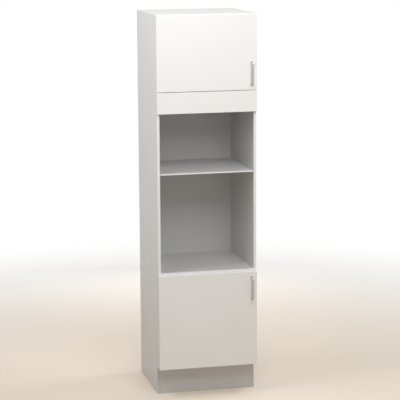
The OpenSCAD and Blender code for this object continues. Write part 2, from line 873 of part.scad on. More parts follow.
// The flange: a plate on the back of the door with round ends at the two screws
module cup_flange() {
    half = cup_screw_spacing / 2;
    right = cup_screw_offset + flange_past_screws;
    for (dz = CUP_SCREW_STEPS)
        rod([right - flange_end_r, 0, dz], "y", flange_end_r, flange_t);
    box([right - 2 * flange_end_r, 0, -half], [right, flange_t, half]);
}

module hinge_cups(zs) {
    color(ZINC_STEEL)
        at_hinges(zs)
            hinge_cup();
}

module cup_screws(zs) {
    color(ZINC_STEEL)
        at_hinges(zs)
            for (dz = CUP_SCREW_STEPS)
                wood_screw([cup_screw_offset, flange_t, dz], "-y", flange_t,
                    cup_screw_l - flange_t);
}

// The pin of the inner links in the cups
module cup_pins(zs) {
    color(ZINC_STEEL)
        at_hinges(zs)
            link_pin(inner_cup_pivot, lug_layer_out - layer_gap / 2);
}

module inner_links(zs) {
    color(ZINC_STEEL)
        at_hinges(zs)
            layer(-inner_layer, inner_layer)
                link_plan(INNER_LINK_PATH);
}

module outer_links(zs) {
    color(ZINC_STEEL)
        at_hinges(zs)
            layers(outer_layer_in, outer_layer_out)
                link_plan(OUTER_LINK_PATH);
}

// The outer link carries its own cup pin, which stops short of the lugs.
module outer_pins(zs) {
    color(ZINC_STEEL)
        at_hinges(zs)
            link_pin(outer_cup_pivot, lug_layer_in - layer_gap / 2);
}

module upper_hinge_cups() {
    hinge_cups(UPPER_HINGE_ZS);
}

module lower_hinge_cups() {
    hinge_cups(LOWER_HINGE_ZS);
}

module upper_cup_screws() {
    cup_screws(UPPER_HINGE_ZS);
}

module lower_cup_screws() {
    cup_screws(LOWER_HINGE_ZS);
}

module upper_cup_pins() {
    cup_pins(UPPER_HINGE_ZS);
}

module lower_cup_pins() {
    cup_pins(LOWER_HINGE_ZS);
}

module upper_inner_links() {
    inner_links(UPPER_HINGE_ZS);
}

module lower_inner_links() {
    inner_links(LOWER_HINGE_ZS);
}

module upper_outer_links() {
    outer_links(UPPER_HINGE_ZS);
}

module lower_outer_links() {
    outer_links(LOWER_HINGE_ZS);
}

module upper_outer_pins() {
    outer_pins(UPPER_HINGE_ZS);
}

module lower_outer_pins() {
    outer_pins(LOWER_HINGE_ZS);
}

// The side outline of an arm; drop lowers its upper edge
module arm_plan(drop) {
    front_foot = outer_arm_pivot.x - eye_r;
    dip_foot = inner_arm_pivot.x - eye_r - arm_dip_margin;
    slope_y = inner_arm_pivot.y + arm_slope_start;
    polygon([
        [front_foot, outer_arm_pivot.y],
        [front_foot, inner_arm_pivot.y - arm_dip_start],
        [dip_foot, inner_arm_pivot.y - arm_dip_half],
        [dip_foot, inner_arm_pivot.y + arm_dip_half],
        [arm_foot, rail_y_front + arm_heel],
        [arm_foot, arm_rear],
        [arm_rear_top - drop, arm_rear],
        [arm_rear_top - drop, slope_y + arm_slope_l],
        [arm_front_top - drop, slope_y],
        [arm_front_top - drop, outer_arm_pivot.y]
    ]);
}

// The arm is a channel: two cheeks joined by a web along their upper edge.
module hinge_arm() {
    difference() {
        union() {
            layer(-arm_layer_out, arm_layer_out)
                arm_plan(0);
            layers(arm_layer_in, arm_layer_out)
                translate(outer_arm_pivot)
                    circle(r = eye_r);
        }
        layer(-arm_layer_in, arm_layer_in)
            union() {
                arm_plan(arm_t);
                translate([arm_foot - cut, arm_rear - cut])
                    square([arm_rear_top - arm_t - arm_foot + cut, 2 * cut]);
                translate([arm_foot, outer_arm_pivot.y - cut])
                    square([arm_front_top + cut - arm_foot, web_front - outer_arm_pivot.y + cut]);
            }
        for (pivot = [inner_arm_pivot, outer_arm_pivot])
            translate([pivot.x, pivot.y, -cup_d / 2])
                cylinder(r = link_pin_r + bore_fit, h = cup_d);
        for (y = ADJUSTER_YS)
            hole([arm_rear_top, y, 0], "-x", adjuster_d / 2 + bore_fit, arm_t + cut);
    }
}

module hinge_arms() {
    color(ZINC_STEEL)
        at_hinges(HINGE_ZS)
            hinge_arm();
}

module hinge_arm_pins() {
    color(ZINC_STEEL)
        at_hinges(HINGE_ZS)
            for (pivot = [inner_arm_pivot, outer_arm_pivot])
                link_pin(pivot, arm_layer_out);
}

// Two screws through the web of each arm into the rail of its plate
module hinge_adjusters() {
    color(ZINC_STEEL)
        at_hinges(HINGE_ZS)
            for (y = ADJUSTER_YS)
                screw([arm_rear_top, y, 0], "-x", adjuster_d, arm_t + adjuster_grip,
                    adjuster_head_d, adjuster_head_h);
}

// The mounting plate: two wings with a screw each, and a rail that the arm straddles
module hinge_plate() {
    difference() {
        union() {
            box([side_face, rail_y_front, -rail_half], [rail_top, rail_y_rear, rail_half]);
            box([side_face, plate_y - wing_r, PLATE_SCREW_STEPS[0]],
                [side_face + plate_t, plate_y + wing_r, PLATE_SCREW_STEPS[1]]);
            for (dz = PLATE_SCREW_STEPS)
                rod([side_face, plate_y, dz], "x", wing_r, plate_t);
        }
        for (dz = PLATE_SCREW_STEPS)
            hole([side_face + plate_t, plate_y, dz], "-x",
                plate_screw_d / 2 + bore_fit, plate_t + cut);
        for (y = ADJUSTER_YS)
            hole([rail_top, y, 0], "-x", adjuster_d / 2 + bore_fit, adjuster_grip);
    }
}

module hinge_plates() {
    color(ZINC_STEEL)
        at_hinges(HINGE_ZS)
            hinge_plate();
}

module hinge_plate_screws() {
    color(ZINC_STEEL)
        at_hinges(HINGE_ZS)
            for (dz = PLATE_SCREW_STEPS)
                screw([side_face + plate_t, plate_y, dz], "-x", plate_screw_d,
                    plate_t + plate_screw_l, plate_screw_head_d, plate_screw_head_h);
}

// ---------------------------------------------------------------- fittings

// A cam lock: a disc with a pocket for the head of its bolt and a slot to turn it
module cam_lock(side, y, z, face) {
    z_face = face < 0 ? z : z + board_t;
    axis = face < 0 ? "z" : "-z";
    x = side * (inner_half - cam_in);
    difference() {
        rod([x, y, z_face], axis, cam_d / 2, cam_t);
        hole([x + side * cam_d / 2, y, z + board_t / 2], side < 0 ? "x" : "-x",
            cam_bolt_bore_d / 2, cam_d / 2 + cam_bolt_head_l / 2 + end_gap);
        box([x - cam_slot_l / 2, y - cam_slot_w / 2, z_face - cam_slot_depth],
            [x + cam_slot_l / 2, y + cam_slot_w / 2, z_face + cam_slot_depth]);
        box([x - cam_slot_w / 2, y - cam_slot_l / 2, z_face - cam_slot_depth],
            [x + cam_slot_w / 2, y + cam_slot_l / 2, z_face + cam_slot_depth]);
    }
}

module cam_locks() {
    color(ZINC_STEEL)
        for (joint = BOARD_JOINTS, side = [-1, 1], y = CAM_YS)
            cam_lock(side, y, joint[0], joint[1]);
}

// A bolt from the side panel to the middle of its cam lock
module cam_bolt(side, y, z) {
    x = side * inner_half;
    inward = side < 0 ? "x" : "-x";
    shank = cam_in - cam_bolt_head_l / 2;
    rod([x + side * cam_thread_l, y, z], inward, cam_thread_d / 2, cam_thread_l);
    rod([x, y, z], inward, cam_bolt_d / 2, shank);
    rod([x - side * shank, y, z], inward, cam_bolt_head_d / 2, cam_bolt_head_l);
}

module cam_bolts() {
    color(ZINC_STEEL)
        for (joint = BOARD_JOINTS, side = [-1, 1], y = CAM_YS)
            cam_bolt(side, y, joint[0] + board_t / 2);
}

module dowels() {
    color(BEECH)
        for (joint = BOARD_JOINTS, side = [-1, 1], y = DOWEL_YS)
            rod([side * (inner_half + dowel_in_side), y, joint[0] + board_t / 2],
                side < 0 ? "x" : "-x", dowel_d / 2, dowel_in_side + dowel_in_board);
}

// Brackets that hold the filler panel to the sides
module filler_bracket(side) {
    inner = side * inner_half;
    x_panel = side * (inner_half - bracket_leg);
    z = z_filler_bracket;
    difference() {
        union() {
            box([min(inner, x_panel), y_door_back, z],
                [max(inner, x_panel), y_door_back + bracket_t, z + bracket_w]);
            box([min(inner, inner - side * bracket_t), y_door_back, z],
                [max(inner, inner - side * bracket_t), y_carcass + bracket_leg, z + bracket_w]);
        }
        for (dz = ACROSS_STEPS)
            pilot([side * (inner_half - bracket_hole_in), y_door_back + bracket_t,
                z + bracket_w / 2 + dz], "-y", bracket_t + cut);
        for (dy = ALONG_STEPS)
            pilot([inner - side * bracket_t, y_carcass + bracket_leg / 2 + dy,
                z + bracket_w / 2], side < 0 ? "-x" : "x", bracket_t + cut);
    }
}

module filler_brackets() {
    color(ZINC_STEEL)
        for (side = [-1, 1])
            filler_bracket(side);
}

module filler_screws() {
    color(ZINC_STEEL)
        for (side = [-1, 1]) {
            for (dz = ACROSS_STEPS)
                wood_screw([side * (inner_half - bracket_hole_in), y_door_back + bracket_t,
                    z_filler_bracket + bracket_w / 2 + dz], "-y", bracket_t, bracket_screw_grip);
            for (dy = ALONG_STEPS)
                wood_screw([side * (inner_half - bracket_t), y_carcass + bracket_leg / 2 + dy,
                    z_filler_bracket + bracket_w / 2], side < 0 ? "-x" : "x",
                    bracket_t, bracket_screw_grip);
        }
}

// Under the heads of a block's two screws, into the plinth board and into the side
function front_screw_place(side, z) =
    [side * (inner_half - block_hole_in), y_block + block_floor, z + block_size / 2];
function side_screw_place(side, z) =
    [side * (inner_half - block_floor), y_block + block_hole_in, z + block_size / 2];

// Plastic blocks in the corners behind the plinth board
module plinth_block(side, z) {
    inner = side * inner_half;
    x_in = side * (inner_half - block_size);
    pocket_r = wood_screw_head_d / 2 + block_pocket_gap;
    difference() {
        box([min(inner, x_in), y_block, z],
            [max(inner, x_in), y_block + block_size, z + block_size]);
        rod(front_screw_place(side, z), "y", pocket_r, block_size);
        rod(side_screw_place(side, z), side < 0 ? "x" : "-x", pocket_r, block_size);
        pilot(front_screw_place(side, z), "-y", block_floor + cut);
        pilot(side_screw_place(side, z), side < 0 ? "-x" : "x", block_floor + cut);
    }
}

module plinth_blocks() {
    color(GREY_PLASTIC)
        for (side = [-1, 1], z = BLOCK_ZS)
            plinth_block(side, z);
}

module plinth_screws() {
    color(ZINC_STEEL)
        for (side = [-1, 1], z = BLOCK_ZS) {
            wood_screw(front_screw_place(side, z), "-y", block_floor, block_screw_grip);
            wood_screw(side_screw_place(side, z), side < 0 ? "-x" : "x",
                block_floor, block_screw_grip);
        }
}

module back_screws() {
    color(ZINC_STEEL)
        for (joint = BOARD_JOINTS)
            if (joint[0] < z_top_panel)
                for (x = BACK_SCREW_XS)
                    wood_screw([x, y_back + back_t, joint[0] + board_t / 2], "-y",
                        back_t, back_screw_grip);
}

// Angle brackets under the top panel, with a hole each for a screw into the wall
module wall_brackets() {
    color(ZINC_STEEL)
        for (x = WALL_XS)
            difference() {
                union() {
                    box([x - bracket_w / 2, y_back - bracket_leg, z_top_panel - bracket_t],
                        [x + bracket_w / 2, y_back, z_top_panel]);
                    box([x - bracket_w / 2, y_back - bracket_t, z_top_panel - bracket_leg],
                        [x + bracket_w / 2, y_back, z_top_panel]);
                }
                hole([x, y_back - bracket_t, z_wall_hole], "y", wall_hole_d / 2, bracket_t + cut);
                for (dx = ACROSS_STEPS)
                    pilot([x + dx, y_back - bracket_leg / 2, z_top_panel - bracket_t], "z",
                        bracket_t + cut);
            }
}

module wall_bracket_screws() {
    color(ZINC_STEEL)
        for (x = WALL_XS, dx = ACROSS_STEPS)
            wood_screw([x + dx, y_back - bracket_leg / 2, z_top_panel - bracket_t], "z",
                bracket_t, bracket_screw_grip);
}

left_side();
right_side();
top_panel();
bottom_panel();
oven_shelf();
cupboard_floor();
back_panel();
plinth_board();
microwave_shelf();
upper_shelf();
lower_shelf();
filler_panel();
upper_door();
lower_door();
upper_handle();
lower_handle();
upper_handle_screws();
lower_handle_screws();
upper_bumpers();
lower_bumpers();
hinge_plates();
hinge_plate_screws();
hinge_arms();
hinge_arm_pins();
hinge_adjusters();
upper_hinge_cups();
upper_cup_screws();
upper_cup_pins();
upper_inner_links();
upper_outer_links();
upper_outer_pins();
lower_hinge_cups();
lower_cup_screws();
lower_cup_pins();
lower_inner_links();
lower_outer_links();
lower_outer_pins();
cam_locks();
cam_bolts();
dowels();
shelf_pins();
filler_brackets();
filler_screws();
plinth_blocks();
plinth_screws();
back_screws();
wall_brackets();
wall_bracket_screws();
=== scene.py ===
"""A tall white kitchen cabinet with an oven niche, a microwave niche and two cupboards."""

import json
import math

import bmesh
import bpy
from bpy.props import FloatProperty, FloatVectorProperty, PointerProperty
from mathutils import Matrix, Vector

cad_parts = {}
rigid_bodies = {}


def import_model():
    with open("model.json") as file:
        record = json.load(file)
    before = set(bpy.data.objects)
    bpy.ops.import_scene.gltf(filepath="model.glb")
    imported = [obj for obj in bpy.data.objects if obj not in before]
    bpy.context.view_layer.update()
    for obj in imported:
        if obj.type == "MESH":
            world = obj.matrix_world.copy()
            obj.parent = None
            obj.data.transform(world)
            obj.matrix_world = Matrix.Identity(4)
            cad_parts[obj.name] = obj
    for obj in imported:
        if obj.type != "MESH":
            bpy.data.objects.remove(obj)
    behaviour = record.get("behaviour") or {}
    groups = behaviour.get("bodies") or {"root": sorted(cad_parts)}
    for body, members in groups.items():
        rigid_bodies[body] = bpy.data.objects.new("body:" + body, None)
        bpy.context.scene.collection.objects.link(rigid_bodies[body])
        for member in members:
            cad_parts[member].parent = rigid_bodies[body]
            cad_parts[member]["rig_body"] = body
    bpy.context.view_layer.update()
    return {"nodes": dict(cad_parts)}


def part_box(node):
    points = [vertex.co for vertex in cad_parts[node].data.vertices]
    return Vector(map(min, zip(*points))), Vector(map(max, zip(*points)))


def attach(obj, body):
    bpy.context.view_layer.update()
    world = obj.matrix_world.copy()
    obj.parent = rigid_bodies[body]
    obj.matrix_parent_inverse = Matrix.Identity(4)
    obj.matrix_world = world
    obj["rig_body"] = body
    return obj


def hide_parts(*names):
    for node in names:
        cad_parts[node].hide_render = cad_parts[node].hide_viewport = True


bl_info = {
    "name": "Microwave Cabinet",
    "version": (1, 0, 0),
    "blender": (4, 5, 0),
    "location": "View3D > Sidebar > Cabinet",
    "description": "Builds a tall kitchen cabinet with two open niches and two cupboards",
    "category": "Add Mesh",
}

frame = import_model()

MM = 0.001
# Corners closer than the first are one corner, and faces that meet at less than the
# second are one face.
SAME_PLACE = 0.001 * MM
FLAT = math.radians(0.5)
# Faces that meet at more than this form an edge, and those of a rounding meet at less
# than the second angle.
SHARP = math.radians(30)
ROUNDED = math.radians(50)
# What is this close to a box's side lies on it; the second is for the middle of a face.
ON_SIDE = 0.01 * MM
FACE_ON_SIDE = 0.1 * MM
# A board's edges are longer than this, and those of its bores are shorter.
BOARD_EDGE = 12 * MM
# A bore's faces are smaller than this, and the faces of notches and grooves larger. They
# lie this far from the board's rim and this deep in it.
BORE_FACE = 400 * MM * MM
BORE_INSET = 2 * MM
BORE_DEPTH = 0.3 * MM
# A flat face's normal has more than this on the axis that it looks along, and the faces
# of a rounding still look forward by the second share.
FACING = 0.9
HALF_FACING = 0.3
# The material slots of a board after that of its faces: its raw core and its edging.
CORE_SLOT = 1
EDGING_SLOT = 2

# The camera stands where the photograph was taken.
CAMERA_PLACE = (-2.1463, -9.1498, 2.8042)
CAMERA_YAW = 0.232
CAMERA_PITCH = 0.1752
CAMERA_ROLL = -0.0062
CAMERA_LENS = 141.51
CAMERA_SENSOR = 36.0

# Soft square lights: where each stands, what it faces, and the side length of each.
KEY_PLACE = (0.0, -2.4, 3.2)
KEY_TARGET = (0.0, -0.25, 1.3)
LEFT_PLACE = (-2.0, -0.4, 3.3)
RIGHT_PLACE = (2.4, 0.4, 3.8)
SIDE_TARGET = (0.0, 0.0, 1.2)
BACK_PLACE = (0.5, 3.2, 1.3)
BACK_TARGET = (0.0, 0.3, 1.2)
LIGHT_SIZE = 1.6
# The floor's sides, and the shares of its radius from and to which it fades.
FLOOR_SIDES = 96
FADE_FROM = 0.1
FADE_TO = 0.5

# Noise is nearly always between these.
NOISE_LOW = 0.3
NOISE_HIGH = 0.7

# A screw's sides, and its forms: shares of its head's height and radius, and of its
# shank's radius. A corner on the head's rim is at least the last share of the radius out.
SCREW_SIDES = 32
RIM_HEIGHT = 0.45
CROWN_HEIGHT = 0.55
CROWN_RADIUS = 0.72
CROSS_LENGTH = 1.15
CROSS_HEIGHT = 1.2
TIP_LENGTH = 1.5
TIP_RADIUS = 0.3
ON_RIM = 0.97
# A handle's sides, and the steps of each of its bends.
BAR_SIDES = 40
BEND_STEPS = 14

BOARDS = (
    "left_side",
    "right_side",
    "top_panel",
    "bottom_panel",
    "oven_shelf",
    "cupboard_floor",
    "plinth_board",
    "microwave_shelf",
    "upper_shelf",
    "lower_shelf",
)
# The boards with raw back edges and with raw feet. A side is given by its axis and sign.
RAW_BACKS = ("left_side", "right_side", "top_panel")
RAW_FEET = ("left_side", "right_side", "plinth_board")
BACK = (1, 1)
DOWN = (2, -1)
FRONTS = ("filler_panel", "upper_door", "lower_door")
HANDLES = ("upper_handle", "lower_handle")
HINGE_NODES = (
    "hinge_plates",
    "hinge_arms",
    "hinge_arm_pins",
    "upper_hinge_cups",
    "upper_cup_pins",
    "upper_inner_links",
    "upper_outer_links",
    "upper_outer_pins",
    "lower_hinge_cups",
    "lower_cup_pins",
    "lower_inner_links",
    "lower_outer_links",
    "lower_outer_pins",
)
SCREW_NODES = (
    "upper_handle_screws",
    "lower_handle_screws",
    "upper_cup_screws",
    "lower_cup_screws",
    "hinge_plate_screws",
    "hinge_adjusters",
    "filler_screws",
    "plinth_screws",
    "back_screws",
    "wall_bracket_screws",
)
CUP_NODES = ("upper_hinge_cups", "lower_hinge_cups")
BUMPER_NODES = ("upper_bumpers", "lower_bumpers")
ZINC_NODES = ("cam_locks", "cam_bolts", "shelf_pins", "filler_brackets", "wall_brackets")


def linear(text):
    """The linear colour of an sRGB hex value."""
    parts = [int(text[i : i + 2], 16) / 255 for i in (0, 2, 4)]
    return tuple(p / 12.92 if p <= 0.04045 else ((p + 0.055) / 1.055) ** 2.4 for p in parts)


# ------------------------------------------------------------------ settings


class BoardSettings(bpy.types.PropertyGroup):
    """The rounding and the colours of boards and fronts"""

    edge_radius: FloatProperty(
        name="Edge radius",
        description="Rounding of the banded edges of boards and fronts",
        default=0.8 * MM,
        min=0.2 * MM,
        max=2 * MM,
        unit="LENGTH",
    )
    # Greyer than the white fronts: painted shade that darkens the sides and the niches.
    board_colour_and_shade: FloatVectorProperty(
        name="Board",
        description="Colour of the melamine face of the carcass",
        subtype="COLOR",
        default=linear("d2d2d1"),
        min=0,
        max=1,
    )
    front_colour: FloatVectorProperty(
        name="Front",
        description="Colour of the doors and the filler panel",
        subtype="COLOR",
        default=linear("f4f4f3"),
        min=0,
        max=1,
    )
    # Brighter than the board: a painted highlight of the lit front edges.
    edging_colour_and_highlight: FloatVectorProperty(
        name="Edging",
        description="Colour of the edging on the front edges of the carcass and shelves",
        subtype="COLOR",
        default=linear("f2f2f1"),
        min=0,
        max=1,
    )
    core_colour: FloatVectorProperty(
        name="Core",
        description="Colour of the raw particle board",
        subtype="COLOR",
        default=linear("b99b74"),
        min=0,
        max=1,
    )


class HandleSettings(bpy.types.PropertyGroup):
    """The bends and the colour of the bow handles"""

    bend_radius: FloatProperty(
        name="Bend radius",
        description="Radius of the bends of the bow, on the bar's centre line",
        default=12 * MM,
        min=7 * MM,
        max=20 * MM,
        unit="LENGTH",
    )
    metal_colour: FloatVectorProperty(
        name="Metal",
        description="Colour of the satin nickel plate",
        subtype="COLOR",
        default=linear("b4b2ad"),
        min=0,
        max=1,
    )


class FittingSettings(bpy.types.PropertyGroup):
    """The edges, crosses and colours of hinges, screws and other fittings"""

    edge_radius: FloatProperty(
        name="Edge radius",
        description="Rounding of the edges of hinges, brackets, pins and buffers",
        default=0.2 * MM,
        min=0.05 * MM,
        max=0.25 * MM,
        unit="LENGTH",
    )
    recess_width: FloatProperty(
        name="Recess width",
        description="Width of the slots of a screw's cross, as a share of its head",
        default=0.22,
        min=0.1,
        max=0.4,
    )
    nickel_colour: FloatVectorProperty(
        name="Hinge metal",
        description="Colour of the bright nickel plate of the hinges",
        subtype="COLOR",
        default=linear("d6d3cd"),
        min=0,
        max=1,
    )
    zinc_colour: FloatVectorProperty(
        name="Zinc",
        description="Colour of the zinc plate of screws and brackets",
        subtype="COLOR",
        default=linear("c3c6c9"),
        min=0,
        max=1,
    )


class StageSettings(bpy.types.PropertyGroup):
    """The floor and the lights"""

    floor_radius: FloatProperty(
        name="Floor radius",
        description="Radius of the round floor",
        default=9.0,
        min=4,
        max=30,
        unit="LENGTH",
    )
    floor_colour: FloatVectorProperty(
        name="Floor",
        description="Colour of the plain floor",
        subtype="COLOR",
        default=linear("e8dccd"),
        min=0,
        max=1,
    )
    bounce_colour: FloatVectorProperty(
        name="Floor bounce",
        description="Colour of the floor in the light that it throws up on the cabinet",
        subtype="COLOR",
        default=linear("c8b8a4"),
        min=0,
        max=1,
    )
    key_power: FloatProperty(
        name="Key light",
        description="Power of the large soft light in front of and above the cabinet",
        default=43,
        min=0,
        unit="POWER",
    )
    left_power: FloatProperty(
        name="Left light",
        description="Power of the soft light above the left side",
        default=36,
        min=0,
        unit="POWER",
    )
    right_power: FloatProperty(
        name="Right light",
        description="Power of the soft light above the right side",
        default=42,
        min=0,
        unit="POWER",
    )
    back_power: FloatProperty(
        name="Back light",
        description="Power of the soft light behind the cabinet",
        default=26,
        min=0,
        unit="POWER",
    )
    fill_strength: FloatProperty(
        name="Fill",
        description="Strength of the even light from all sides",
        default=0.38,
        min=0,
        max=2,
    )


# ------------------------------------------------------------------ materials


def add(tree, kind, inputs=None, **settings):
    """A new node in the tree; an input's value is a socket to link or a constant."""
    node = tree.nodes.new(kind)
    for name, value in settings.items():
        setattr(node, name, value)
    for name, value in (inputs or {}).items():
        if isinstance(value, bpy.types.NodeSocket):
            tree.links.new(value, node.inputs[name])
        else:
            node.inputs[name].default_value = value
    return node


def new_material(name, metallic, roughness, **constants):
    """A material with its shader, whose even values are set on the shader itself."""
    material = bpy.data.materials.new(name)
    material.use_nodes = True
    tree = material.node_tree
    tree.nodes.clear()
    shader = add(
        tree,
        "ShaderNodeBsdfPrincipled",
        {"Metallic": metallic, "Roughness": roughness, **constants},
    )
    output = add(tree, "ShaderNodeOutputMaterial", {"Surface": shader.outputs["BSDF"]})
    output.is_active_output = True
    place = add(tree, "ShaderNodeTexCoord").outputs["Object"]
    return material, tree, shader, place


def grain(tree, place, size_mm, detail=2.0, roughness=0.5, stretch=(1, 1, 1)):
    """Noise whose blotches are about size_mm across, longer where stretch is small."""
    scaled = add(
        tree,
        "ShaderNodeMapping",
        {"Vector": place, "Scale": tuple(s * 1000 / size_mm for s in stretch)},
    )
    noise = add(
        tree,
        "ShaderNodeTexNoise",
        {
            "Vector": scaled.outputs["Vector"],
            "Scale": 1.0,
            "Detail": detail,
            "Roughness": roughness,
        },
    )
    return noise.outputs["Fac"]


def tinted(tree, factor, colour, dark, light):
    """The colour, from dark to light times itself, as factor runs over its range."""
    ramp = add(tree, "ShaderNodeValToRGB", {"Fac": factor})
    stops = ((NOISE_LOW, dark), (NOISE_HIGH, light))
    for element, (position, share) in zip(ramp.color_ramp.elements, stops):
        element.position = position
        element.color = (*(min(1, c * share) for c in colour), 1)
    return ramp.outputs["Color"]


def patterned(tree, shader, tint, gloss=None, relief=None):
    """Gives a finish its colour, and varies its roughness and its relief by noises. Gloss
    is a noise and the two roughnesses that it runs between, and relief is a noise, its
    strength and its height."""
    tree.links.new(tint, shader.inputs["Base Color"])
    if gloss:
        noise, low, high = gloss
        rough = add(
            tree,
            "ShaderNodeMapRange",
            {
                "Value": noise,
                "From Min": NOISE_LOW,
                "From Max": NOISE_HIGH,
                "To Min": low,
                "To Max": high,
            },
        )
        tree.links.new(rough.outputs["Result"], shader.inputs["Roughness"])
    if relief:
        noise, strength, height = relief
        bump = add(
            tree,
            "ShaderNodeBump",
            {"Height": noise, "Strength": strength, "Distance": height},
        )
        tree.links.new(bump.outputs["Normal"], shader.inputs["Normal"])


def melamine_board(colour):
    """White melamine: printed paper in resin, pressed on particle board between steel
    plates that leave a faint pearl texture. It is white and looks even, with a soft sheen;
    its colour is set greyer than the fronts, as painted shade that darkens the sides and
    the niches. The 0.5 mm pearls are drawn 3 mm wide, because finer ones don't show."""
    material, tree, shader, place = new_material(
        "white_melamine_board", metallic=0.0, roughness=0.4, IOR=1.5
    )
    pearl = grain(tree, place, size_mm=3, detail=1.0)
    cloud = grain(tree, place, size_mm=180, detail=3.0)
    patterned(
        tree,
        shader,
        tint=tinted(tree, cloud, colour, dark=0.988, light=1.006),
        gloss=(pearl, 0.36, 0.46),
        relief=(pearl, 0.12, 0.2 * MM),
    )
    return material


def smooth_front(colour):
    """White foil on fibre board, pressed smooth: brighter and glossier than the carcass,
    with the slight unevenness that a reflection shows over some 40 mm."""
    material, tree, shader, place = new_material(
        "white_foil_front", metallic=0.0, roughness=0.28, IOR=1.5
    )
    wave = grain(tree, place, size_mm=40, detail=2.0)
    cloud = grain(tree, place, size_mm=220, detail=3.0)
    patterned(
        tree,
        shader,
        tint=tinted(tree, cloud, colour, dark=0.992, light=1.004),
        gloss=(wave, 0.275, 0.29),
        relief=(wave, 0.02, 0.4 * MM),
    )
    return material


def edge_band(colour):
    """White ABS edging: extruded, glued to the front edges and buffed. It is smoother
    than the faces, with faint buffing marks some 5 mm apart. Its colour is set brighter
    than the board's, as a painted highlight of the lit front edges."""
    material, tree, shader, place = new_material(
        "white_abs_edging", metallic=0.0, roughness=0.34, IOR=1.5
    )
    marks = grain(tree, place, size_mm=5, detail=2.0)
    patterned(
        tree,
        shader,
        tint=tinted(tree, marks, colour, dark=0.992, light=1.004),
        gloss=(marks, 0.31, 0.37),
        relief=(marks, 0.05, 0.1 * MM),
    )
    return material


def particle_board(colour):
    """Raw particle board: pressed wood chips, as seen on cut edges and in bores. Chips
    about 3 mm apart show between light and dark flakes 5 mm across."""
    material, tree, shader, place = new_material(
        "raw_particle_board", metallic=0.0, roughness=0.85
    )
    chips_per_metre = 350.0
    chips = add(
        tree,
        "ShaderNodeTexVoronoi",
        {"Vector": place, "Scale": chips_per_metre, "Randomness": 1.0},
    )
    flakes = grain(tree, place, size_mm=5, detail=5.0, roughness=0.7)
    mixed = add(
        tree,
        "ShaderNodeMath",
        {0: chips.outputs["Distance"], 1: flakes},
        operation="MULTIPLY",
    )
    # Most of the mixed pattern lies between 0.05 and 0.45.
    shade = add(
        tree,
        "ShaderNodeMapRange",
        {
            "Value": mixed.outputs[0],
            "From Min": 0.05,
            "From Max": 0.45,
            "To Min": NOISE_LOW,
            "To Max": NOISE_HIGH,
        },
    )
    patterned(
        tree,
        shader,
        tint=tinted(tree, shade.outputs["Result"], colour, dark=0.6, light=1.25),
        relief=(flakes, 0.5, 0.6 * MM),
    )
    return material


def satin_nickel(colour):
    """Satin nickel on a zinc casting: brushed before plating and left dull, so that it
    mirrors only soft light and dark. The brush lines run along the bar, 0.6 mm apart."""
    material, tree, shader, place = new_material(
        "satin_nickel_plate", metallic=1.0, roughness=0.34
    )
    lines = grain(tree, place, size_mm=0.6, detail=2.0, stretch=(1, 1, 0.03))
    patterned(
        tree,
        shader,
        tint=tinted(tree, lines, colour, dark=0.9, light=1.06),
        gloss=(lines, 0.29, 0.4),
        relief=(lines, 0.08, 0.1 * MM),
    )
    return material


def bright_nickel(colour):
    """Nickel on pressed steel: the bright plate of hinges, slightly wavy from the
    press, with faint tool marks about 2 mm apart."""
    material, tree, shader, place = new_material(
        "bright_nickel_plate", metallic=1.0, roughness=0.22
    )
    marks = grain(tree, place, size_mm=2, detail=3.0)
    patterned(
        tree,
        shader,
        tint=tinted(tree, marks, colour, dark=0.97, light=1.02),
        gloss=(marks, 0.19, 0.26),
        relief=(marks, 0.03, 0.1 * MM),
    )
    return material


def zinc_plate(colour):
    """Blue zinc on steel: a thin passivated plate, duller than nickel, with blotches
    of 3 mm where the bath ran off."""
    material, tree, shader, place = new_material(
        "blue_zinc_plate", metallic=1.0, roughness=0.36
    )
    blotches = grain(tree, place, size_mm=3, detail=4.0, roughness=0.6)
    patterned(
        tree,
        shader,
        tint=tinted(tree, blotches, colour, dark=0.88, light=1.05),
        gloss=(blotches, 0.3, 0.46),
    )
    return material


def beech_wood():
    """Beech, turned and fluted for dowels: pale pink brown with short darker flecks
    about 1 mm wide along the dowel."""
    material, tree, shader, place = new_material("beech_wood", metallic=0.0, roughness=0.6)
    fibres = grain(tree, place, size_mm=1, detail=3.0, stretch=(0.15, 1, 1))
    patterned(
        tree,
        shader,
        tint=tinted(tree, fibres, linear("d2ac7d"), dark=0.8, light=1.1),
        relief=(fibres, 0.3, 0.2 * MM),
    )
    return material


def milky_rubber():
    """Soft polyurethane buffers: cast, milky and slightly shiny, a little uneven
    over 2 mm."""
    material, tree, shader, place = new_material(
        "milky_polyurethane", metallic=0.0, roughness=0.35
    )
    haze = grain(tree, place, size_mm=2)
    patterned(
        tree,
        shader,
        tint=tinted(tree, haze, linear("dfe2e4"), dark=0.95, light=1.03),
        gloss=(haze, 0.3, 0.42),
    )
    return material


def moulded_plastic():
    """Grey ABS: moulded corner blocks with a spark-eroded grain of about 1 mm."""
    material, tree, shader, place = new_material(
        "moulded_grey_abs", metallic=0.0, roughness=0.55
    )
    eroded = grain(tree, place, size_mm=1)
    patterned(
        tree,
        shader,
        tint=tinted(tree, eroded, linear("cfcecb"), dark=0.95, light=1.03),
        gloss=(eroded, 0.5, 0.62),
        relief=(eroded, 0.2, 0.1 * MM),
    )
    return material


MATERIALS = {}


